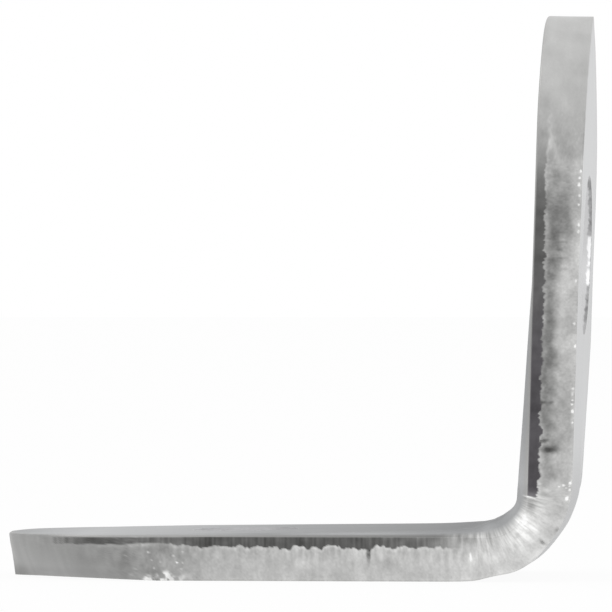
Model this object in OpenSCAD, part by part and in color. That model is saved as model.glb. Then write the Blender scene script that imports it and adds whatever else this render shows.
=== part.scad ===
// Corner brace: one steel strip with two round-ended legs, folded once.
// X runs along the base leg, which points to -X, Y across the strip and +Z up.
// The base leg lies on Z = 0, and the origin is the middle of its flat there between the screw hole and the bend.

/* [Strip] */
// Width of the strip
strip_w = 12.7; // [10:0.1:20]
// Thickness of the strip
strip_t = 2.03; // [1.4:0.01:3]

/* [Legs] */
// Length of the base leg, from the outer corner to its tip
base_len = 25.9; // [20:0.1:60]
// Length of the wall leg, from the outer corner to its tip
wall_len = 25.4; // [20:0.1:60]

/* [Bend] */
// Angle between the two legs, a little open from spring-back
bend_angle = 91.8; // [80:0.2:110]
// Radius inside the bend
inner_r = 1.65; // [1:0.05:2.5]
// How much thinner the strip is drawn in the middle of the bend
bend_thinning = 0.3; // [0.05:0.05:0.6]

/* [Swollen inner corner] */
// Where the inner faces start to rise towards the bend, from the outer corner
swell_start = 12; // [9:0.1:16]
// How steeply the base leg's inner face rises
base_rise_angle = 2.5; // [1:0.1:4]
// How steeply the wall leg's inner face rises
wall_rise_angle = 3.2; // [1:0.1:4]
// Radius between the two risen faces
swell_r = 2.1; // [1.8:0.05:3.5]
// How far the swelling stays in from the sheared edges
swell_inset = 0.5; // [0.2:0.1:2]

/* [Bevelled leg ends] */
// How far the bevels at the corners of a leg's end reach in on its outer face
end_bevel = 2; // [0.5:0.1:3]
// Angle in plan between a bevel and the leg's length
bevel_turn = 45; // [30:1:60]

/* [Screw holes] */
// Diameter of the screw holes
hole_d = 4.8; // [3:0.1:6]
// Diameter of the countersinks
sink_d = 7.2; // [6.2:0.1:8]
// Full angle of the countersinks
sink_angle = 82; // [82:1:100]
// From the tip of the base leg to the middle of its hole
base_hole_inset = 10.8; // [7:0.1:14]
// From the tip of the wall leg to the middle of its hole
wall_hole_inset = 10.8; // [7:0.1:14]

/* [Sheared edge] */
// Width of the rolled-over rim on the inner faces
roll_w = 0.2; // [0.05:0.05:0.3]
// Height of the rolled-over rim
roll_h = 0.1; // [0.06:0.02:0.3]
// Height of the straight, burnished land below the rim
land_h = 0.48; // [0.2:0.02:0.8]
// Slope of the broken surface between the land and the outer face
break_angle = 4; // [1:0.5:8]

/* [Hidden] */
$fn = 96;
// How far a shape that is cut, or that cuts, runs past the faces that it meets
over = 0.5;
// Angle that the strip turns through in the bend
turn = 180 - bend_angle;
// Radius outside the bend, which leaves the strip thinner in the middle of the bend
outer_r = strip_t + inner_r + bend_thinning / (1 / sin(bend_angle / 2) - 1);
// Depth of a countersink
sink_depth = (sink_d - hole_d) / 2 / tan(sink_angle / 2);
// Middle of the base leg's hole, from the outer corner
base_hole_x = base_len - base_hole_inset;
// Middle of the wall leg's hole, from the outer corner
wall_hole_x = wall_len - wall_hole_inset;
// Middle of the base leg's flat between its countersink and the bend, from the outer corner: the origin
origin_x = (base_hole_x - sink_d / 2 + arc_start(0, outer_r)) / 2;
// Along the wall leg, in the side view
wall_dir = [cos(turn), sin(turn)];
// Inwards from the wall leg, in the side view
wall_in = [-sin(turn), cos(turn)];

// Half of the strip's cross-section with its sheared edge: X across the strip, Y from the inner face outwards.
// It runs past both faces, which the side view then cuts.
half_section = [
    [0, -over],
    [strip_w / 2 - roll_w * (1 + over / roll_h), -over],
    [strip_w / 2, roll_h],
    [strip_w / 2, roll_h + land_h],
    [strip_w / 2 - (strip_t + over - roll_h - land_h) * tan(break_angle), strip_t + over],
    [0, strip_t + over],
];

// The whole cross-section, with X across the strip.
module section() {
    polygon(half_section);
    mirror([1, 0]) polygon(half_section);
}

// How far from the outer corner an arc starts whose lower side lies at a given height over the outer face.
function arc_start(height, radius) = (height + radius) / tan(bend_angle / 2);

// One leg with its part of the bend, swept along the strip. It points to -X from the outer corner.
module swept_leg(length) {
    setback = arc_start(strip_t, inner_r);
    flat_len = length - strip_w / 2 - setback;
    translate([-setback, 0, strip_t]) {
        rotate([0, -90, 0]) rotate([0, 0, 90]) linear_extrude(flat_len) section();
        translate([-flat_len, 0, 0])
            rotate([180, 0, 0]) rotate([0, 0, 90]) rotate_extrude(angle = 180) polygon(half_section);
        translate([0, 0, inner_r])
            rotate([90, 0, 0]) rotate([0, 0, -90])
                rotate_extrude(angle = turn / 2 + 10)
                    translate([inner_r, 0]) rotate([0, 0, 90]) mirror([0, 1]) section();
    }
}

// Side view of what lies above a leg's face at a given height, and inside an arc from there up to the bend's middle.
module above_face(length, height, radius) {
    translate([-arc_start(height, radius), height]) {
        mirror([1, 0]) square([length, 2 * radius + strip_t]);
        translate([0, radius])
            intersection() {
                circle(radius);
                translate([0, -2 * radius]) square(2 * radius);
            }
    }
}

// The same as a block right across the strip.
module block_above_face(length, height, radius, width) {
    translate([0, width / 2, 0]) rotate([90, 0, 0]) linear_extrude(width) above_face(length, height, radius);
}

// Side view of the swollen inner corner. Inside the strip it runs down to the middle of the bend.
module swell_side() {
    base_start = [-swell_start, strip_t];
    wall_start = swell_start * wall_dir + strip_t * wall_in;
    base_line = [cos(base_rise_angle), sin(base_rise_angle)];
    wall_line = sin(wall_rise_angle) * wall_in - cos(wall_rise_angle) * wall_dir;
    meet = base_start + base_line * cross(wall_start - base_start, wall_line) / cross(base_line, wall_line);
    half_angle = (bend_angle + base_rise_angle + wall_rise_angle) / 2;
    away = -(base_line + wall_line) / norm(base_line + wall_line);
    centre = meet + away * swell_r / sin(half_angle);
    back = swell_r / tan(half_angle);
    middle = (outer_r / sin(bend_angle / 2) - outer_r + strip_t / 2) * [-cos(bend_angle / 2), sin(bend_angle / 2)];
    difference() {
        polygon([base_start - 2 * base_line, meet - back * base_line, centre, meet - back * wall_line,
            wall_start - 2 * wall_line, middle]);
        translate(centre) circle(swell_r);
    }
}

// The swelling of the strip inside the bend, which stays in from both sheared edges.
module swell() {
    width = strip_w - 2 * swell_inset;
    translate([0, width / 2, 0]) rotate([90, 0, 0]) linear_extrude(width) swell_side();
}

// What the two bevels take from a leg's end. They run out at the inner face, where the end is a half circle.
module end_bevels(length) {
    inner_reach = strip_w / 2;
    run_out = over * end_bevel / strip_t;
    translate([inner_reach - length, 0, 0])
        for (side = [-1, 1])
            rotate([0, 0, 180 + side * (90 - bevel_turn)]) rotate([90, 0, 0])
                translate([0, 0, -strip_w]) linear_extrude(2 * strip_w)
                    polygon([[inner_reach - end_bevel - run_out, -over], [strip_w, -over],
                        [strip_w, strip_t + over], [inner_reach + run_out, strip_t + over]]);
}

// A screw hole through a leg, centred on Z, with its countersink at the outer face, Z = 0.
module screw_hole() {
    translate([0, 0, -over]) cylinder(d = hole_d, h = strip_t + 4 * over);
    translate([0, 0, -over])
        cylinder(d1 = sink_d + 2 * over * tan(sink_angle / 2), d2 = hole_d, h = sink_depth + over);
}

// One leg without its hole, with its half of the bend and a little more.
module leg(length) {
    difference() {
        intersection() {
            swept_leg(length);
            block_above_face(length, 0, outer_r, strip_w + 2 * over);
        }
        block_above_face(length, strip_t, inner_r, strip_w + 4 * over);
        end_bevels(length);
    }
}

// A leg turned so that the middle of the bend lies on the plane X = 0, and cut off there.
module leg_to_mid_bend(length) {
    reach = 2 * length;
    intersection() {
        rotate([0, turn / 2, 0]) leg(length);
        translate([-reach, -strip_w, -reach]) cube([reach, 2 * strip_w, 2 * reach]);
    }
}

// The folded strip without its holes, with the outer corner at X = 0 and Z = 0.
module folded_strip() {
    rotate([0, -turn / 2, 0]) {
        leg_to_mid_bend(base_len);
        mirror([1, 0, 0]) leg_to_mid_bend(wall_len);
    }
    swell();
}

// The finished brace.
module corner_brace() {
    color([0.78, 0.78, 0.77])
        translate([origin_x, 0, 0])
            difference() {
                folded_strip();
                translate([-base_hole_x, 0, 0]) screw_hole();
                rotate([0, -turn / 2, 0]) mirror([1, 0, 0]) rotate([0, turn / 2, 0])
                    translate([-wall_hole_x, 0, 0]) screw_hole();
            }
}

corner_brace();
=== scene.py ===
# Corner brace: the look of one folded steel strip, with its sheared edge, screw holes and zinc plating.
import math
import bpy
import numpy as np
from mathutils import Matrix, Vector
from mathutils.geometry import delaunay_2d_cdt


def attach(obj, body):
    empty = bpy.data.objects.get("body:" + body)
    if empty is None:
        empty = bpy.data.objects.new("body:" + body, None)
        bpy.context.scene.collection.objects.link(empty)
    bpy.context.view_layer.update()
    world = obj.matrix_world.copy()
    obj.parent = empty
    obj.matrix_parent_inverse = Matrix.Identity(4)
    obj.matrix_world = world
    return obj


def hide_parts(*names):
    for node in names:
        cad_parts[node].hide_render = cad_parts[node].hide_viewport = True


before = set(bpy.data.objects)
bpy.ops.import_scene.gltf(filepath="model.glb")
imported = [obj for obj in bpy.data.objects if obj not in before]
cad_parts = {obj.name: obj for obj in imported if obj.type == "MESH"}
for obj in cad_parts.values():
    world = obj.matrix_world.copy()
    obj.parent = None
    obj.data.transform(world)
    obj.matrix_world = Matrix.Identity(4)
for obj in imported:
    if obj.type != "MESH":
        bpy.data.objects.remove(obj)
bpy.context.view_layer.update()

# Sizes of the strip in millimetres, as in the part's source
WIDTH = 12.7
THICK = 2.03
BASE_LEN = 25.9
WALL_LEN = 25.4
BEND_ANGLE = math.radians(91.8)
INNER_R = 1.65
BEND_THINNING = 0.3
HOLE_R = 2.4
SINK_R = 3.6
SINK_HALF_ANGLE = math.radians(41)
HOLE_INSET = 10.8
ROLL_H = 0.1
LAND_H = 0.48
BREAK_ANGLE = math.radians(4)

# What follows from those sizes
HALF = WIDTH / 2
SINK_DEPTH = (SINK_R - HOLE_R) / math.tan(SINK_HALF_ANGLE)
OUTER_R = THICK + INNER_R + BEND_THINNING / (1 / math.sin(BEND_ANGLE / 2) - 1)
# Where the bend starts on the outer and the inner face, from the outer corner
OUTER_START = OUTER_R / math.tan(BEND_ANGLE / 2)
INNER_START = (THICK + INNER_R) / math.tan(BEND_ANGLE / 2)
ORIGIN_X = (BASE_LEN - HOLE_INSET - SINK_R + OUTER_START) / 2
HALF_TURN = (math.pi - BEND_ANGLE) / 2
# Angle of the line that halves the corner, from +X
HALF_LINE = math.pi - BEND_ANGLE / 2
# Middles of the screw holes along the strip
HOLES = (-(BASE_LEN - HOLE_INSET), WALL_LEN - HOLE_INSET)
MM_PER_M = 1000

# Factors that scramble a grid point's place and a seed into a value, and the bits that are kept of it
HASH_X, HASH_Y, HASH_SEED, HASH_MIX = 374761393, 668265263, 974711, 1274126177
BITS_32 = 0xFFFFFFFF
BITS_16 = 0xFFFF
# How far each layer of noise is shifted against the one before
LAYER_SHIFT = (17.3, 5.1)


def value_noise(x, y, seed):
    """Smooth noise from 0 to 1 on a grid with a step of 1, the same for the same seed."""
    x0 = np.floor(x).astype(np.int64)
    y0 = np.floor(y).astype(np.int64)
    fx = x - x0
    fy = y - y0
    fx = fx * fx * (3 - 2 * fx)
    fy = fy * fy * (3 - 2 * fy)

    def corner(i, j):
        h = (i * HASH_X + j * HASH_Y + seed * HASH_SEED) & BITS_32
        h = ((h ^ (h >> 13)) * HASH_MIX) & BITS_32
        return ((h ^ (h >> 16)) & BITS_16) / BITS_16

    low = corner(x0, y0) * (1 - fx) + corner(x0 + 1, y0) * fx
    high = corner(x0, y0 + 1) * (1 - fx) + corner(x0 + 1, y0 + 1) * fx
    return low * (1 - fy) + high * fy


def layered(x, y, seed, layers):
    """Layers of noise, each half as large and half as strong as the one before, from -1 to 1."""
    total = np.zeros_like(x)
    weight = 0.0
    for k in range(layers):
        shifted = x * 2**k + LAYER_SHIFT[0] * k, y * 2**k + LAYER_SHIFT[1] * k
        total = total + value_noise(*shifted, seed + k) / 2**k
        weight += 1 / 2**k
    return total / weight * 2 - 1


# Kinds of noise on the strip: waves per mm along it and across it, a shift, a seed and the number of layers
NOISE = {
    "border_waves": (1.3, 0, 2, 11, 3),
    "border_teeth": (3.6, 1.5, 0, 12, 2),
    "border_grain": (11, 4, 0, 13, 2),
    "border_rags": (6.5, 0.6, 0, 14, 2),
    "band_tip": (7, 0, 0, 74, 2),
    "band_lines_base": (12, 0.4, 0, 71, 2),
    "band_lines_wall": (1.6, 0.5, 0, 72, 3),
    "band_streaks": (2.1, 3, 0, 75, 2),
    "band_grain": (3, 5, 0, 73, 2),
    "blotches": (1.5, 1.6, 0, 21, 2),
    "grain_base": (5.5, 2.2, 0, 31, 3),
    "grain_wall": (2.6, 3.4, 0, 33, 3),
    "specks": (13, 11, 0, 41, 2),
    "drawn": (8, 0.8, 0, 35, 2),
    "brushed_base": (7, 0.5, 0, 52, 2),
    "brushed_wall": (1.4, 2.6, 0, 54, 3),
    "brushed_clouds": (2.5, 0.6, 0, 51, 2),
    "rim": (3, 0, 7, 53, 2),
    "rays": (5.5, 0.9, 0, 61, 3),
    "painted_glint_rags": (14, 14, 0, 59, 2),
    "painted_glint_patch": (4.5, 5, 0, 57, 3),
    "painted_glint_patch_end": (1.6, 0, 0, 58, 2),
    "inner_streaks": (0.6, 3.5, 0, 81, 3),
    "outer_streaks": (0.5, 3, 0, 91, 3),
    "outer_dull": (4, 0.5, 0, 93, 2),
    "sink_painted_dark": (6, 0, 0, 95, 2),
    "sink_rim": (8, 0, 0, 96, 2),
    "bore": (4, 4, 0, 99, 2),
    "relief_hills": (2.4, 2.2, 0, 21, 3),
    "relief_grain": (8, 3.5, 0, 31, 2),
    "relief_specks": (16, 14, 0, 41, 2),
    "relief_lines": (16, 0.3, 0, 71, 2),
}


def noise(kind, m, across):
    """One kind of noise, from -1 to 1."""
    per_m, per_across, shift, seed, layers = NOISE[kind]
    return layered(m * per_m, across * per_across + shift, seed, layers)


def step(low, high, x):
    """0 at low, 1 at high, smooth between and level beyond."""
    t = np.clip((x - low) / (high - low), 0, 1)
    return t * t * (3 - 2 * t)


def between(x, start, full, fade, end):
    """1 from full to fade, 0 before start and after end, and smooth between."""
    return step(start, full, x) * step(end, fade, x)


def outside(x, low_full, low_start, high_start, high_full):
    """0 from low_start to high_start, 1 below low_full and above high_full, and smooth between."""
    return np.maximum(step(low_start, low_full, x), step(high_start, high_full, x))


def mix(first, second, share):
    """First where share is 0, second where it is 1."""
    return first + (second - first) * share


def ramp(m, stops):
    """Value at m of a row of stops, each with its place and value."""
    at, value = np.array(stops, float).T
    return np.interp(m, at, value)


def bumps(m, rows):
    """Sum of soft bumps along the strip, each with its place, reach and height."""
    return sum(height * np.exp(-((m - at) / size) ** 2) for at, size, height in rows)


def spot(m, b, at_m, at_b, size_m, size_b):
    """A soft spot that is 1 in its middle."""
    return np.exp(-((m - at_m) / size_m) ** 2 - ((b - at_b) / size_b) ** 2)


def spots(m, b, rows):
    """Sum of soft spots, each with its place and its reach along and into the strip, and its strength."""
    return sum(strength * spot(m, b, *where) for *where, strength in rows)


# Shape of the strip. A place on it is m along it, w across it and b in from its inner face.
# m is 0 in the middle of the bend, -BASE_LEN at the base leg's tip and WALL_LEN at the wall leg's tip.
# The inner face has risen towards the bend: how far on each leg, how steeply that falls off further out than
# SWELL_END from the outer corner, and the radius between the two risen faces
SWELL_R = 2.45
SWELL_END = 4.6
BASE_RISE, BASE_SLOPE = 0.215, 0.0125
WALL_RISE, WALL_SLOPE = 0.42, 0.044
# The swelling starts over this width beside the near edge, and is this much weaker towards the far edge
SWELL_INSET = 0.8
FAR_SWELL_LOSS = 0.15
# Where the inner corner swells more or less than that, and where the outer face of the bend lies in
UNEVEN_SWELL = ((-4.2, 1.5, 0.11), (-2.2, 1.0, 0.1), (1.7, 1.4, -0.175))
BEND_DENTS = ((-3.1, 1.05, -0.14), (0.9, 1.25, -0.078), (2.7, 0.8, -0.03))
# How much thicker the base leg is on its far side, how far the wall leg's outer face stands out, and how far
# the outer face of the bend lies in on the far side
TIP_TWIST = ((-24, -0.06), (-18, 0))
WALL_OUT = ((14, 0), (17, 0.03), (20, 0.03), (22, 0.01), (25, -0.015))
FAR_IN = ((-4, 0), (-1.5, 0.25), (0, 0.38), (1, 0.42), (2.2, 0.36), (4.5, 0.2), (10.5, 0))


def half_strip(m, b, rise, slope, other_rise, uneven, kept, lift, bow):
    """Places on the base leg and its half of the bend, for m below 0."""
    angle = HALF_TURN * np.clip(1 + m / OUTER_START, 0, 1)
    dir_x = np.sin(angle)
    dir_z = -np.cos(angle)
    flat = m < -OUTER_START
    out_x = np.where(flat, m, -OUTER_START + OUTER_R * dir_x)
    out_z = np.where(flat, 0.0, OUTER_R + OUTER_R * dir_z)
    reach = (OUTER_R - THICK) / np.cos(angle)
    in_x = np.where(flat, m, -OUTER_START + reach * dir_x)
    in_z = np.full_like(in_x, THICK)
    gap_x = INNER_START - OUTER_START
    gap_z = OUTER_R - THICK - INNER_R
    along = gap_x * dir_x + gap_z * dir_z
    far = -along + np.sqrt(np.maximum(along**2 - gap_x**2 - gap_z**2 + INNER_R**2, 0))
    bent = in_x > -INNER_START
    in_x = np.where(bent, -OUTER_START + far * dir_x, in_x)
    in_z = np.where(bent, OUTER_R + far * dir_z, in_z)
    span_x = in_x - out_x
    span_z = in_z - out_z
    length = np.hypot(span_x, span_z)
    # The ray from the outer face meets the swollen inner face on the leg's line, or on the arc in the corner
    dir_x = span_x / length
    dir_z = span_z / length
    line_reach = (THICK + rise + slope * np.minimum(out_x + SWELL_END, 0) - out_z) / dir_z
    centre_z = THICK + rise + SWELL_R
    centre_x = -(THICK + other_rise + SWELL_R + centre_z * math.cos(BEND_ANGLE)) / math.sin(BEND_ANGLE)
    to_x = centre_x - out_x
    to_z = centre_z - out_z
    along = to_x * dir_x + to_z * dir_z
    arc_reach = along - np.sqrt(np.maximum(along**2 - to_x**2 - to_z**2 + SWELL_R**2, 0))
    in_arc = out_x + line_reach * dir_x > centre_x
    swell = np.where(in_arc, arc_reach, line_reach) - length + uneven
    swell = np.maximum(swell, 0) * kept + lift
    share = (1 - b / THICK) * (1 + swell / length) - bow / length
    return out_x + span_x * share, out_z + span_z * share


def place(m, w, b):
    """Where the places lie, in metres in the frame of the part."""
    wall = m > 0
    rise = np.where(wall, WALL_RISE, BASE_RISE)
    other_rise = np.where(wall, BASE_RISE, WALL_RISE)
    slope = np.where(wall, WALL_SLOPE, BASE_SLOPE)
    kept = step(0, SWELL_INSET, HALF + w) * (1 - FAR_SWELL_LOSS * step(4, HALF, w))
    # The wall leg is a little thicker in its middle
    thicker = 0.03 * step(6, 12, m) - 0.04 * step(20.5, 24, m)
    lift = ramp(m, TIP_TWIST) * (w / HALF * 0.5 + 0.5) + thicker
    outwards = bumps(m, BEND_DENTS) + ramp(m, WALL_OUT) - step(0, HALF, w) * ramp(m, FAR_IN)
    bow = outwards * b / THICK
    x, z = half_strip(-np.abs(m), b, rise, slope, other_rise, bumps(m, UNEVEN_SWELL), kept, lift, bow)
    # The wall leg is the base leg mirrored in the line that halves the corner
    cos2 = math.cos(2 * HALF_LINE)
    sin2 = math.sin(2 * HALF_LINE)
    px = np.where(wall, cos2 * x + sin2 * z, x) + ORIGIN_X
    pz = np.where(wall, sin2 * x - cos2 * z, z)
    return np.stack([px, w + 0 * px, pz], -1) / MM_PER_M


# The sheared edge has a dark burnished band below the inner face and a pale broken surface below that.
# Depths at which the band starts and ends, and where its end lies deeper or less deep
BAND_START = ((-21, 0.11), (-18, 0.08), (-16, 0.045), (4, 0.065), (13, 0.065), (16, 0.035))
BAND_END = ((-21, 0.39), (-18, 0.34), (-16.5, 0.5), (-6, 0.51), (4, 0.53), (6, 0.56), (16, 0.52))
NOTCHES = (
    (-15.6, 0.5, -0.05), (-13.6, 0.3, 0.06), (-12.6, 0.3, 0.1), (-11.4, 0.3, -0.06), (-10.4, 0.35, -0.06),
    (-8.9, 0.25, 0.08), (-8.1, 0.25, -0.06), (4.45, 0.2, -0.08), (4.9, 0.2, 0.07), (5.8, 0.2, -0.03),
    (6.5, 0.7, 0.07), (7.5, 0.3, -0.09), (10.3, 0.5, -0.11), (12.2, 0.3, 0.07), (13.0, 0.12, -0.1),
    (15.2, 0.8, -0.12), (18.0, 1.1, -0.08),
)


def edge_zones(m, b):
    """How burnished the sheared edge is, from 0 to 1, and how far b lies below the burnished band."""
    on_wall = step(0, 3, m)
    ragged = between(m, -15.5, -14, -6, -4)
    border = ramp(m, BAND_END) + bumps(m, NOTCHES) + 0.05 * noise("border_waves", m, b)
    border = border + (mix(0.06, 0.12, on_wall) + 0.12 * ragged) * noise("border_teeth", m, b)
    border = border + mix(0.03, 0.07, on_wall) * noise("border_grain", m, b)
    border = border + 0.09 * ragged * noise("border_rags", m, b)
    on_base_leg = step(-24.6, -21.8, m + noise("band_tip", m, b)) * step(-4.3, -6.0, m)
    along = np.where(m < 0, on_base_leg, between(m, 3.1, 3.25, 16.8, 21.4))
    top = ramp(m, BAND_START)
    inside = step(top - 0.03, top + 0.03, b) * step(0.03, -0.02, b - border)
    return along * inside, b - border


# Grey values from 0 to 255 along the strip
# The broken surface is lighter towards the bend: painted highlight there.
BROKEN_TONE = (
    (-25.9, 158), (-23, 158), (-21.4, 148), (-19, 158), (-17.2, 178), (-15, 188), (-11, 196), (-6.5, 192),
    (-4.5, 204), (0, 220), (3.9, 200), (6.2, 172), (8, 164), (11, 174), (13, 184), (16.5, 168), (19, 172),
    (24, 193),
)
BURNISHED_TONE = (
    (-24, 112), (-21.4, 96), (-18.5, 115), (-16, 88), (-12.5, 89), (-10, 97), (-6.8, 113),
    (3.1, 88), (5, 82), (9, 80), (13, 95), (16, 97), (19, 125), (21, 160),
)
# The inner face dips darker towards the bend on the base leg: painted shade of the corner.
INNER_TONE = (
    (-25.9, 164), (-24.2, 176), (-22, 187), (-17, 176), (-13, 160), (-8, 148), (-5, 138), (-1.5, 152),
    (1, 178), (4.5, 200), (7, 178), (10, 170), (14, 176), (25, 190),
)
# The bores are painted pale, paler towards the base leg's tip: painted light that lifts the shade in the
# holes.
BORE_TONE = ((-17.2, 222), (-16, 209), (-13, 192))
# Strength of the tone's noise on the base leg and on the wall leg
BLOTCHES = (13, 22)
GRAIN = (17, 22)
SPECKS = (9, 12)
# How far the wall leg's grain leans along the strip for each mm into it
GRAIN_LEAN = 1 / 2.6
# Lighter and darker stains on the sheared edge, among them lighter spots on the bend that are painted
# highlights, a dark grainy one, and pits
STAINS_AND_HIGHLIGHTS = (
    (-21.4, 0.7, 0.5, 0.3, 9), (-21.0, 1.6, 0.6, 0.3, 10), (-20.4, 0.42, 0.5, 0.15, 11),
    (-20.0, 1.3, 0.4, 0.25, -11), (-19.7, 0.85, 0.4, 0.25, -12), (-19.0, 1.85, 0.5, 0.13, 18),
    (-18.9, 0.42, 0.5, 0.15, 12), (-18.5, 1.65, 0.2, 0.12, -14), (-18.2, 0.6, 0.3, 0.25, -11),
    (-13.3, 1.4, 0.7, 0.5, 10), (-5.0, 0.42, 0.2, 0.2, -14), (-4.5, 0.14, 0.7, 0.22, -38),
    (-4.3, 1.85, 0.5, 0.2, 13), (-4.25, 1.0, 0.3, 0.3, 20), (-2.2, 0.15, 1.2, 0.22, -14),
    (-2.1, 1.05, 0.5, 0.3, 14), (-1.2, 0.02, 1.3, 0.1, -24), (-0.8, 1.2, 0.3, 0.3, 11),
    (-0.35, 0.5, 0.35, 0.15, -24), (0.0, 1.15, 0.25, 0.3, 11), (0.2, 1.5, 0.6, 0.35, -12),
    (0.8, 0.4, 1.4, 0.5, 26), (1.1, 0.95, 1.1, 0.45, 20), (2.25, 0.3, 0.5, 0.24, -50),
    (2.7, 1.5, 2.0, 0.6, -19), (3.0, 1.0, 0.35, 0.35, 16), (4.4, 1.22, 0.35, 0.3, 26),
    (4.8, 1.7, 0.8, 0.6, -18), (5.0, 1.5, 0.4, 0.3, 12), (6.1, 1.7, 0.9, 0.25, 12),
    (6.5, 1.5, 1.1, 0.4, -11), (7.2, 1.96, 2.2, 0.1, 18), (7.6, 1.26, 0.45, 0.25, -30),
    (8.1, 0.93, 0.5, 0.22, 20), (10.4, 0.7, 0.5, 0.16, 22), (11.3, 0.97, 0.3, 0.25, -24),
    (11.7, 1.95, 0.9, 0.1, 14), (12.5, 1.1, 0.3, 0.3, -14), (13.95, 1.28, 0.3, 0.25, 24),
    (14.6, 1.7, 0.35, 0.2, -14), (15.0, 1.3, 0.35, 0.2, 12), (15.6, 0.6, 0.4, 0.15, 18),
    (15.7, 1.65, 0.4, 0.2, -24), (17.4, 1.95, 0.7, 0.1, 14),
)
GRAINY_STAIN = (16.2, 1.2, 0.95, 0.5)
PITS = (
    (-8.95, 0.8, 0.08, 0.42, 70), (0.5, 1.74, 0.1, 0.18, 50), (1.6, 1.97, 0.16, 0.1, 45),
    (5.85, 0.95, 0.11, 0.32, 66), (6.2, 0.6, 0.06, 0.1, 40), (6.25, 0.78, 0.07, 0.14, 55),
    (7.95, 0.6, 0.06, 0.2, 34), (7.95, 1.0, 0.07, 0.1, 36), (13.9, 1.4, 0.07, 0.14, 24),
    (14.4, 1.25, 0.05, 0.2, 20), (14.75, 1.15, 0.045, 0.14, 18), (15.1, 1.3, 0.05, 0.2, 26),
)
# Depth in mm of a pit for each grey level that it is darker
PIT_DEPTH = 0.0016
# Painted glints, bright specks of painted highlight: a row beside the wall leg's outer face, single ones,
# and some scattered on the base leg
rng = np.random.default_rng(7)
PAINTED_GLINT_ROW = (18.3, 18.0, 17.7, 17.2, 16.8, 15.9, 15.6, 13.4, 11.5, 10.5, 8.6, 8.35, 8.1, 7.9, 7.6, 7.1)
PAINTED_GLINTS = [(m, rng.uniform(1.9, 1.99), rng.uniform(0.05, 0.1), 0.06, rng.uniform(30, 75)) for m in PAINTED_GLINT_ROW]
PAINTED_GLINTS += [
    (4.4, 1.95, 0.09, 0.07, 60), (4.25, 1.92, 0.06, 0.06, 45), (4.05, 1.94, 0.08, 0.07, 55),
    (3.55, 1.87, 0.13, 0.09, 70), (4.28, 1.66, 0.07, 0.08, 45), (4.2, 1.46, 0.05, 0.06, 40),
    (4.13, 1.78, 0.05, 0.06, 32), (-4.38, 0.95, 0.05, 0.22, 36), (3.07, 0.22, 0.05, 0.3, 40),
    (1.2, 0.16, 0.35, 0.12, 24), (0.9, 0.3, 0.4, 0.14, 20),
]
PAINTED_GLINTS += [
    (rng.uniform(-20, -17.2), rng.uniform(0.5, 1.6), rng.uniform(0.04, 0.08), 0.05, rng.uniform(20, 60))
    for _ in range(14)
]


def broken_tone(m, b, below, calm):
    """Grey value of the broken surface, with painted glints and highlights in it. It is calm at the tips of
    the legs and rough between them.
    """
    on_wall = step(2.5, 5.5, m)
    rough = 1 - calm
    # Grain that runs across the strip's thickness on the base and is round on the wall
    blotches = noise("blotches", m, b)
    grain = mix(noise("grain_base", m, b), noise("grain_wall", m + GRAIN_LEAN * b, b), on_wall)
    grain_strength = mix(*GRAIN, on_wall) * mix(0.5, 1, step(1.9, 0.6, b))
    uneven = mix(*BLOTCHES, on_wall) * blotches + grain_strength * grain
    uneven = uneven + mix(*SPECKS, on_wall) * noise("specks", m, b)
    tone = ramp(m, BROKEN_TONE) + rough * uneven
    # Lines that were drawn down from the burnished band on the base leg
    drawn = noise("drawn", m, b) * step(-19, -15, m) * (1 - on_wall) * step(1.5, 0.5, b)
    tone = tone + mix(10, 19, step(-13, -11, m)) * drawn
    brushed = np.where(m < 0, noise("brushed_base", m, b), noise("brushed_wall", m, b))
    tone = tone + calm * (4 * noise("brushed_clouds", m, b) + 7 * brushed)
    # A darker streak beside the burnished band on the wall leg, and pale metal beyond it
    streak_end = b + 0.25 * blotches - bumps(m, ((8, 1.2, 0.17),))
    streak = 12 * step(0.75, 0.5, b) - 20 - 20 * step(7, 10, m)
    flank = between(m, 2.5, 5.5, 14.5, 17.3)
    tone = tone + flank * mix(streak, 14, step(0.8, 1.35, streak_end))
    tone = tone + 20 * step(1.4, 1.75, b) * between(m, 13, 15.5, 18, 20)
    # A pale rim below the burnished band
    rim = bumps(below, ((0.08, 0.07, 1),)) * (0.5 + 0.5 * noise("rim", m, b))
    tone = tone + 24 * rough * rim * outside(m, -5.8, -4.6, 2.95, 3.2)
    # Rays across the bend
    tone = tone + 20 * noise("rays", m, b) * between(m, -7, -5, 2.6, 4.2) * step(1.8, 0.4, b)
    # Stains, with painted highlights on the bend among them, and a dark grainy stain
    tone = tone + spots(m, b, STAINS_AND_HIGHLIGHTS) - 44 * spot(m, b, *GRAINY_STAIN) * (0.8 + 0.6 * grain)
    tone = tone - 11 * step(1.4, 1.8, b) * step(-20, -21, m) - spots(m, b, PITS)
    # Painted glints: bright specks of painted highlight, with ragged edges
    painted_glint_rags = 0.3 * noise("painted_glint_rags", m, b)
    for *where, painted_highlight in PAINTED_GLINTS:
        tone = tone + painted_highlight * step(0.25, 0.75, spot(m, b, *where) + painted_glint_rags)
    # A ragged white patch of painted highlight beside the base leg's outer face
    painted_glint_patch = step(-0.05, 0.3, noise("painted_glint_patch", m, b)) * between(m, -20.2, -19, -18.4, -16.6)
    return tone + 85 * painted_glint_patch * step(1.6, 1.85, b + 0.25 * noise("painted_glint_patch_end", m, b))


def burnished_tone(m, b):
    """Grey value of the burnished band, with its fine lines. It is paler where it runs out."""
    lines = np.where(m < 0, 17 * noise("band_lines_base", m, b), 13 * noise("band_lines_wall", m, b))
    lines = lines + 13 * noise("band_streaks", m, b) * step(0, -3, m) + 6 * noise("band_grain", m, b)
    fade = np.where(m < 0, 45 * step(-22, -24, m) + 55 * step(-6.6, -4.4, m), 24 * step(4.2, 3.2, m))
    return ramp(m, BURNISHED_TONE) + lines + fade


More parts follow.
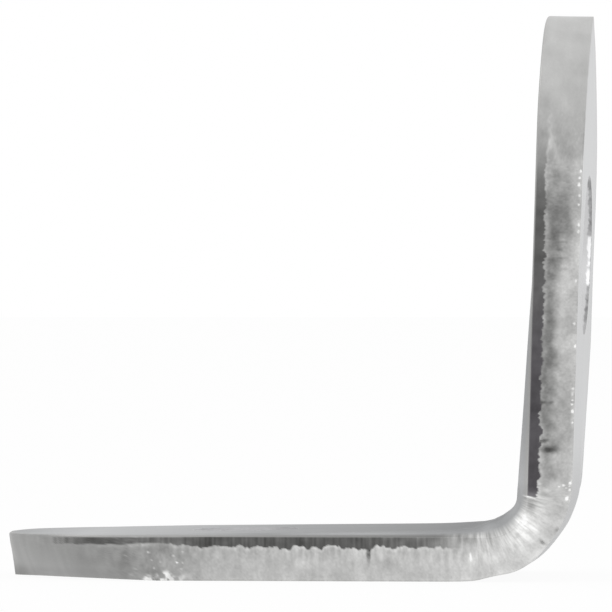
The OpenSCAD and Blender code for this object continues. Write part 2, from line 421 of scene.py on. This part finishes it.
def edge_tone(m, b):
    """Grey value and roughness of the sheared edge."""
    burnish, below = edge_zones(m, b)
    calm = outside(m, -23, -19.5, 18, 22.5)
    tone = mix(broken_tone(m, b, below, calm), burnished_tone(m, b), burnish)
    # The rolled rim beside the band looks like the inner face
    rolled = step(0.09, 0.03, b) * outside(m, -6, -4.5, 3, 3.3) * step(-24, -22, m)
    return mix(tone, ramp(m, INNER_TONE) - 8, rolled), 0.5 - 0.2 * burnish - 0.1 * calm


def inner_tone(m, w):
    """Grey value of the inner face, paler beside the near edge of the base leg, with painted shade near the
    bend.
    """
    shoulder = step(1.2, 0.3, HALF + w) * between(m, -15, -9, -3, 0)
    return ramp(m, INNER_TONE) + 36 * shoulder + 5 * noise("inner_streaks", m, w)


def outer_tone(m, w):
    """Grey value of the outer face, with dull marks on the far side of the bend."""
    dark_part = step(4.6, 5.6, w) * between(m, -1.5, 0, 4.6, 5.6) * step(-0.4, 0.3, noise("outer_dull", m, w))
    bend = step(6.5, 3, np.abs(m))
    return 186 - 70 * dark_part + 8 * step(12, 18, m) - 29 * bend + 4 * noise("outer_streaks", m, w)


# Along the wall leg's countersink: depth of its rim, gaps in the painted highlight on the rim and a darker
# place in its painted dark reflection
SINK_RIM = ((-1.6, 0.09), (-1.2, 0.12), (0.5, 0.12), (1.0, 0.16), (1.4, 0.13), (3, 0.1))
SINK_HIGHLIGHT_GAPS = ((-0.55, 0.1, 0.5), (-0.2, 0.07, 0.4))
SINK_DARK = ((1.9, 0.5, 14),)


def sink_tone(m, w, b):
    """Grey value of a countersink. Its rim is darker, a painted dark reflection, and on the wall leg the
    middle of the rim is a bright painted highlight.
    """
    up = m - HOLES[1]
    reach = ramp(up, SINK_RIM) * (1 + 0.5 * noise("sink_rim", m, w))
    rim = step(THICK - reach - 0.05, THICK - reach, b)
    # Painted highlight in the middle of the rim on the wall leg, and painted dark reflection beside it
    painted_highlight = between(up, -1.45, -1.3, 0.8, 0.95) * (1 - bumps(up, SINK_HIGHLIGHT_GAPS))
    dark_part = 160 + 30 * noise("sink_painted_dark", m, w) - bumps(up, SINK_DARK)
    return mix(206, mix(dark_part, 252, painted_highlight), rim)


def grey(values):
    """Linear light of a grey value from 0 to 255."""
    v = np.clip(values, 0, 255) / 255
    return np.where(v <= 0.04045, v / 12.92, ((v + 0.055) / 1.055) ** 2.4)


def tinted(tone, red, blue):
    """Linear colour of a grey value with a slight tint."""
    return np.stack([grey(tone + red), grey(tone), grey(tone + blue), np.ones_like(tone)], -1)


# Powers of the curves that the ends of the legs follow, on the inner face and on the outer face of each leg
INNER_POWER = 2.7
BASE_POWER = 1.05
WALL_POWER = 1.45
# How far along the strip an end reaches on the outer face
OUTER_REACH = 7.2


def end_shape(share):
    """Form of the leg ends at a depth, from square with round corners to nearly straight bevels."""
    base_power = mix(INNER_POWER, BASE_POWER, share)
    wall_power = mix(INNER_POWER, WALL_POWER, share)
    reach = mix(HALF, OUTER_REACH, share)
    base_end = BASE_LEN - 0.07 - 0.12 * share + 0.05 * np.sin(math.pi * share)
    wall_end = WALL_LEN - 0.01 + 0.05 * share
    return base_power, wall_power, reach, base_end, wall_end


# Points round the outline: in each near and far corner of an end, and along the near and the far side
NEAR_TURNS, FAR_TURNS = 91, 31
NEAR_POINTS, FAR_POINTS = 901, 141


def outline(row_b):
    """Outline of the strip at a depth: one loop from the tip of the base leg past the near side and back."""
    base_power, wall_power, reach, base_end, wall_end = end_shape(row_b / THICK)
    base_m = -(base_end - reach)
    wall_m = wall_end - reach

    def corner(turns, power):
        turn = np.linspace(0, math.pi / 2, turns)
        return reach * np.cos(turn).clip(0) ** (2 / power), HALF * np.sin(turn) ** (2 / power)

    near_base, near_wall = corner(NEAR_TURNS, base_power), corner(NEAR_TURNS, wall_power)
    far_base, far_wall = corner(FAR_TURNS, base_power), corner(FAR_TURNS, wall_power)
    near_m = np.linspace(base_m, wall_m, NEAR_POINTS)[1:-1]
    far_m = np.linspace(wall_m, base_m, FAR_POINTS)[1:-1]
    m = np.concatenate([
        base_m - near_base[0], near_m, wall_m + near_wall[0][::-1],
        wall_m + far_wall[0][1:], far_m, (base_m - far_base[0])[::-1][:-1],
    ])
    w = np.concatenate([
        -near_base[1], np.full_like(near_m, -HALF), -near_wall[1][::-1],
        far_wall[1][1:], np.full_like(far_m, HALF), far_base[1][::-1][:-1],
    ])
    return m, w


# How far the rolled rim and the outer face's rounded edge reach in, and the heights of the relief
ROLL_REACH = 0.12
EDGE_REACH = 0.05
RELIEF = (("relief_hills", 0.022), ("relief_grain", 0.012), ("relief_specks", 0.006))
LINE_RELIEF = 0.002


def edge_inset(m, w, b):
    """How far the sheared edge lies in from the outline: rolled rim, land, broken slope and its relief."""
    burnish, _ = edge_zones(m, b)
    inset = ROLL_REACH * (1 - np.sqrt(np.clip(1 - (1 - np.clip(b / ROLL_H, 0, 1)) ** 2, 0, 1)))
    inset = inset + np.clip(b - ROLL_H - LAND_H, 0, THICK) * math.tan(BREAK_ANGLE)
    inset = inset + EDGE_REACH * step(1.97, THICK, b)
    calm = outside(m, -22.5, -19.5, 19, 22.5)
    broken = (1 - burnish) * (1 - calm) * step(0, 0.15, b) * step(THICK, 1.9, b)
    relief = sum(height * (1 + noise(kind, m, b)) for kind, height in RELIEF)
    inset = inset + broken * relief + burnish * LINE_RELIEF * (1 + noise("relief_lines", m, b))
    # It runs out at the middle of the ends
    return inset * step(0.05, 1.3, np.abs(w)) + PIT_DEPTH * spots(m, b, PITS)


class Skin:
    """The strip's points with their colour and roughness, and the faces between them."""

    def __init__(self):
        self.points = []
        self.looks = []
        self.faces = []
        self.count = 0

    def add_points(self, m, w, b, colour, roughness):
        """Add points, and return their numbers in the same order."""
        numbers = np.arange(m.size).reshape(m.shape) + self.count
        looks = np.concatenate([colour, np.broadcast_to(roughness, m.shape)[..., None]], -1)
        self.points.append(place(m, w, b).reshape(-1, 3))
        self.looks.append(looks.reshape(-1, 5))
        self.count += m.size
        return numbers

    def add_wall(self, numbers, corners):
        """Add the faces between loops of points, which are the columns of numbers."""
        after = np.roll(numbers, -1, 0)
        quads = np.stack([numbers[:, :-1], numbers[:, 1:], after[:, 1:], after[:, :-1]], -1)
        self.faces.extend(quads.reshape(-1, 4)[:, corners].tolist())


skin = Skin()
# Order of a face's corners, with the face turned one way or the other
ONE_WAY = [0, 1, 2, 3]
OTHER_WAY = [0, 3, 2, 1]

# The sheared edge: loops round the strip's outline, from the inner face to the outer face
EDGE_ROWS = np.array([0, 0.015, 0.04, 0.08, *np.linspace(0.125, 1.955, 40), 1.99, 2.015, THICK])
row_m, row_w = np.array([outline(b) for b in EDGE_ROWS]).transpose(1, 2, 0)
edge_b = np.broadcast_to(EDGE_ROWS, row_m.shape)
tangent_m = np.roll(row_m, -1, 0) - np.roll(row_m, 1, 0)
tangent_w = np.roll(row_w, -1, 0) - np.roll(row_w, 1, 0)
inset = edge_inset(row_m, row_w, edge_b) / np.hypot(tangent_m, tangent_w)
edge_m = row_m - tangent_w * inset
edge_w = row_w + tangent_m * inset
tone, rough = edge_tone(row_m, edge_b)
# The burnished band has a faint tint low on the wall leg
wall_tint = between(row_m, -2, 4, 10, 15) * edge_zones(row_m, edge_b)[0]
edge_ids = skin.add_points(edge_m, edge_w, edge_b, tinted(tone, 2 * wall_tint, -1 + 4 * wall_tint), rough)
skin.add_wall(edge_ids, ONE_WAY)

# Screw holes: rings from the inner face down the bore and out along the countersink
RING = 288
LAND = THICK - SINK_DEPTH
SINK_SHARES = (0.15, 0.3, 0.45, 0.6, 0.7, 0.76, 0.81, 0.85, 0.88, 0.905, 0.93, 0.95, 0.97, 0.985, 1)
HOLE_ROWS = [(0.0, HOLE_R), (0.1, HOLE_R), (0.25, HOLE_R), (LAND, HOLE_R)]
HOLE_ROWS += [(LAND + SINK_DEPTH * k, HOLE_R + (SINK_R - HOLE_R) * k) for k in SINK_SHARES]
INNER_ROUGHNESS = 0.62
OUTER_ROUGHNESS = 0.3
SINK_ROUGHNESS = 0.35
ring_turn = np.arange(RING) / RING * 2 * math.pi
# The loops that bound each face: the sheared edge's rim and the two holes
inner_loops = [(edge_ids[:, 0], edge_m[:, 0], edge_w[:, 0])]
outer_loops = [(edge_ids[:, -1], edge_m[:, -1], edge_w[:, -1])]
for centre in HOLES:
    rings = []
    for b, radius in HOLE_ROWS:
        m = centre + radius * np.cos(ring_turn)
        w = radius * np.sin(ring_turn)
        # Bores take painted light against their shade; countersinks take a painted highlight and painted
        # dark reflection.
        if b > LAND:
            shade, roughness = sink_tone(m, w, b), SINK_ROUGHNESS
        else:
            shade, roughness = ramp(m, BORE_TONE) + 5 * noise("bore", m, w), INNER_ROUGHNESS
        rings.append((skin.add_points(m, w, np.full(RING, b), tinted(shade, 0, 1), roughness), m, w))
    skin.add_wall(np.array([ids for ids, _, _ in rings]).T, OTHER_WAY)
    inner_loops.append(rings[0])
    outer_loops.append(rings[-1])

# Points inside a face: closer together along the bend and beside the near edge, clear of its rim and holes
BEND_REACH = 5.5
LEG_STEP = 0.5
BEND_STEP = 0.11
NEAR_ROWS = (-6.1, -5.95, -5.8, -5.65, -5.45, -5.2, -4.7, -4.2)
FAR_ROWS = (5.4, 5.8, 6.1)
RIM_SHARE = 0.96
RIM_HALF = 6.15
HOLE_GAP = 0.2
# Rings this close round the holes keep the tones of the holes off the face
RING_GAP = 0.04


def face_points(b, radius):
    """Places of the points inside one face."""
    on_base = np.arange(-25.5, -BEND_REACH, LEG_STEP)
    on_bend = np.arange(-BEND_REACH, BEND_REACH, BEND_STEP)
    on_wall = np.arange(BEND_REACH, 25.3, LEG_STEP)
    across = np.concatenate([NEAR_ROWS, np.arange(-3.6, 5, 0.6), FAR_ROWS])
    m, w = np.meshgrid(np.concatenate([on_base, on_bend, on_wall]), across, indexing="ij")
    m, w = m.ravel(), w.ravel()
    base_power, wall_power, reach, base_end, wall_end = end_shape(b / THICK)
    into_end = np.clip(np.maximum(-m - (base_end - reach), m - (wall_end - reach)) / reach, 0, 1)
    power = np.where(m < 0, base_power, wall_power)
    keep = into_end**power + (np.abs(w) / RIM_HALF) ** power < RIM_SHARE
    for centre in HOLES:
        keep &= np.hypot(m - centre, w) > radius + HOLE_GAP
    m, w = m[keep], w[keep]
    for centre in HOLES:
        m = np.append(m, centre + (radius + RING_GAP) * np.cos(ring_turn))
        w = np.append(w, (radius + RING_GAP) * np.sin(ring_turn))
    return m, w


def fill_face(loops, b, radius, tone_of, roughness, flip):
    """Fill one face of the strip between its loops."""
    links = []
    known = []
    for ids, _, _ in loops:
        start = len(known)
        known += ids.tolist()
        links += [(start + i, start + (i + 1) % len(ids)) for i in range(len(ids))]
    inside_m, inside_w = face_points(b, radius)
    all_m = np.concatenate([m for _, m, _ in loops] + [inside_m])
    all_w = np.concatenate([w for _, _, w in loops] + [inside_w])
    points = [Vector(pair) for pair in zip(all_m.tolist(), all_w.tolist())]
    out_points, _, out_faces, origin, _, _ = delaunay_2d_cdt(points, links, [], 1, 1e-6)
    lookup = {}
    fresh = []
    for k, sources in enumerate(origin):
        old = [s for s in sources if s < len(known)]
        if old:
            lookup[k] = known[old[0]]
        else:
            fresh.append(k)
    m = np.array([out_points[k].x for k in fresh])
    w = np.array([out_points[k].y for k in fresh])
    ids = skin.add_points(m, w, np.full_like(m, b), tinted(tone_of(m, w), -1, 1), roughness)
    lookup.update(zip(fresh, ids.tolist()))
    for corners in out_faces:
        middle_m = sum(out_points[i].x for i in corners) / len(corners)
        middle_w = sum(out_points[i].y for i in corners) / len(corners)
        if any(math.hypot(middle_m - centre, middle_w) < radius * 0.999 for centre in HOLES):
            continue
        numbers = [lookup[i] for i in corners]
        skin.faces.append(numbers[::-1] if flip else numbers)


fill_face(inner_loops, 0.0, HOLE_R, inner_tone, INNER_ROUGHNESS, False)
fill_face(outer_loops, THICK, SINK_R, outer_tone, OUTER_ROUGHNESS, True)

looks = np.concatenate(skin.looks)
mesh = bpy.data.meshes.new("brace_strip")
mesh.from_pydata(np.concatenate(skin.points).tolist(), [], skin.faces)
mesh.validate()
colour = mesh.attributes.new("zinc_colour", "FLOAT_COLOR", "POINT")
colour.data.foreach_set("color", looks[:, :4].astype(np.float32).ravel())
rough_data = mesh.attributes.new("zinc_rough", "FLOAT", "POINT")
rough_data.data.foreach_set("value", looks[:, 4].astype(np.float32))
for polygon in mesh.polygons:
    polygon.use_smooth = True
mesh.set_sharp_from_angle(angle=math.radians(50))
brace = bpy.data.objects.new("brace_strip", mesh)
bpy.context.scene.collection.objects.link(brace)

# Zinc plating: the colour and roughness of each place, with fine grain over them
GRAIN_SCALE = 9000
GRAIN_TONE = (0.93, 1.07)
GRAIN_DEPTH = 0.00001
zinc = bpy.data.materials.new("zinc_plate")
zinc.use_nodes = True
nodes = zinc.node_tree.nodes
link = zinc.node_tree.links.new
shader = nodes["Principled BSDF"]
shader.inputs["Metallic"].default_value = 1.0
where = nodes.new("ShaderNodeTexCoord")
tint = nodes.new("ShaderNodeAttribute")
tint.attribute_name = "zinc_colour"
polish = nodes.new("ShaderNodeAttribute")
polish.attribute_name = "zinc_rough"
grain = nodes.new("ShaderNodeTexNoise")
grain.inputs["Scale"].default_value = GRAIN_SCALE
grain.inputs["Detail"].default_value = 3
link(where.outputs["Object"], grain.inputs["Vector"])
vary = nodes.new("ShaderNodeMapRange")
vary.inputs["To Min"].default_value, vary.inputs["To Max"].default_value = GRAIN_TONE
link(grain.outputs["Fac"], vary.inputs["Value"])
scale = nodes.new("ShaderNodeVectorMath")
scale.operation = "SCALE"
link(tint.outputs["Color"], scale.inputs[0])
link(vary.outputs["Result"], scale.inputs["Scale"])
link(scale.outputs["Vector"], shader.inputs["Base Color"])
link(polish.outputs["Fac"], shader.inputs["Roughness"])
bump = nodes.new("ShaderNodeBump")
bump.inputs["Strength"].default_value = 0.25
bump.inputs["Distance"].default_value = GRAIN_DEPTH
link(grain.outputs["Fac"], bump.inputs["Height"])
link(bump.outputs["Normal"], shader.inputs["Normal"])
mesh.materials.append(zinc)

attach(brace, "root")
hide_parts("corner_brace")


def seen_rays(tree):
    """1 on rays that start at the camera or leave a surface as a mirror image, and 0 on all others."""
    rays = tree.nodes.new("ShaderNodeLightPath")
    either = tree.nodes.new("ShaderNodeMath")
    either.operation = "MAXIMUM"
    tree.links.new(rays.outputs["Is Camera Ray"], either.inputs[0])
    tree.links.new(rays.outputs["Is Glossy Ray"], either.inputs[1])
    return either.outputs["Value"]


# Floor: pale, nearly white to the camera, with the brace's shadow kept in it. It lies just below the brace.
FLOOR_HALF = 6
FLOOR_Z = -2e-5
WHITE_SHARE = 0.94
corners = [(x * FLOOR_HALF, y * FLOOR_HALF, FLOOR_Z) for x, y in ((-1, -1), (1, -1), (1, 1), (-1, 1))]
floor_mesh = bpy.data.meshes.new("floor")
floor_mesh.from_pydata(corners, [], [(0, 1, 2, 3)])
floor = bpy.data.objects.new("floor", floor_mesh)
bpy.context.scene.collection.objects.link(floor)
paint = bpy.data.materials.new("floor_paint")
paint.use_nodes = True
nodes = paint.node_tree.nodes
link = paint.node_tree.links.new
matt = nodes["Principled BSDF"]
matt.inputs["Base Color"].default_value = (0.95, 0.95, 0.95, 1)
matt.inputs["Roughness"].default_value = 0.9
matt.inputs["Specular IOR Level"].default_value = 0.0
glow = nodes.new("ShaderNodeEmission")
glow.inputs["Color"].default_value = (1, 1, 1, 1)
share = nodes.new("ShaderNodeMath")
share.operation = "MULTIPLY"
share.inputs[1].default_value = WHITE_SHARE
link(seen_rays(paint.node_tree), share.inputs[0])
blend = nodes.new("ShaderNodeMixShader")
link(share.outputs["Value"], blend.inputs["Fac"])
link(matt.outputs["BSDF"], blend.inputs[1])
link(glow.outputs["Emission"], blend.inputs[2])
link(blend.outputs["Shader"], nodes["Material Output"].inputs["Surface"])
floor_mesh.materials.append(paint)

# World: white to the camera and in the metal, and a soft light on everything else
SOFT_LIGHT = 0.85
world = bpy.data.worlds.new("studio")
bpy.context.scene.world = world
world.use_nodes = True
nodes = world.node_tree.nodes
link = world.node_tree.links.new
sky = nodes["Background"]
sky.inputs["Color"].default_value = (1, 1, 1, 1)
level = nodes.new("ShaderNodeMapRange")
level.inputs["To Min"].default_value = SOFT_LIGHT
level.inputs["To Max"].default_value = 1.0
link(seen_rays(world.node_tree), level.inputs["Value"])
link(level.outputs["Result"], sky.inputs["Strength"])

# Two square lamps that point at the brace
LAMP_SIZE = 0.3
LAMP_AIM = Vector((0, 0, 0.01))


def softbox(name, at, power):
    """A square lamp that points at the brace."""
    lamp = bpy.data.lights.new(name, "AREA")
    lamp.size = LAMP_SIZE
    lamp.energy = power
    box = bpy.data.objects.new(name, lamp)
    bpy.context.scene.collection.objects.link(box)
    box.location = at
    box.rotation_euler = (LAMP_AIM - Vector(at)).to_track_quat("-Z", "Y").to_euler()


softbox("key", (-0.25, -0.25, 0.35), 0.2)
softbox("fill", (0.35, -0.2, 0.15), 0.08)

# Camera, at the photograph's angle. It points at a place in the middle of the strip's width, given in mm:
# along X from the outer corner, and up.
YAW = math.radians(5.4301)
PITCH = math.radians(0.0155)
ROLL = math.radians(-0.0131)
AWAY = 0.3
LENS = 386.98
SENSOR = 36
TARGET_X, TARGET_Z = -12.339, 12.2861
camera_data = bpy.data.cameras.new("camera")
camera_data.sensor_fit = "HORIZONTAL"
camera_data.sensor_width = SENSOR
camera_data.lens = LENS
camera_data.clip_start = 0.01
camera_data.clip_end = 50
camera = bpy.data.objects.new("camera", camera_data)
bpy.context.scene.collection.objects.link(camera)
ahead = Vector((-math.sin(YAW) * math.cos(PITCH), math.cos(YAW) * math.cos(PITCH), -math.sin(PITCH)))
target = Vector(((TARGET_X + ORIGIN_X) / MM_PER_M, 0, TARGET_Z / MM_PER_M))
right = ahead.cross(Vector((0, 0, 1))).normalized()
up = right.cross(ahead)
turned_right = math.cos(ROLL) * right + math.sin(ROLL) * up
turned_up = math.cos(ROLL) * up - math.sin(ROLL) * right
pose = Matrix((turned_right, turned_up, -ahead)).transposed().to_4x4()
pose.translation = target - ahead * AWAY
camera.matrix_world = pose
bpy.context.scene.camera = camera

bpy.context.scene.view_settings.view_transform = "Standard"
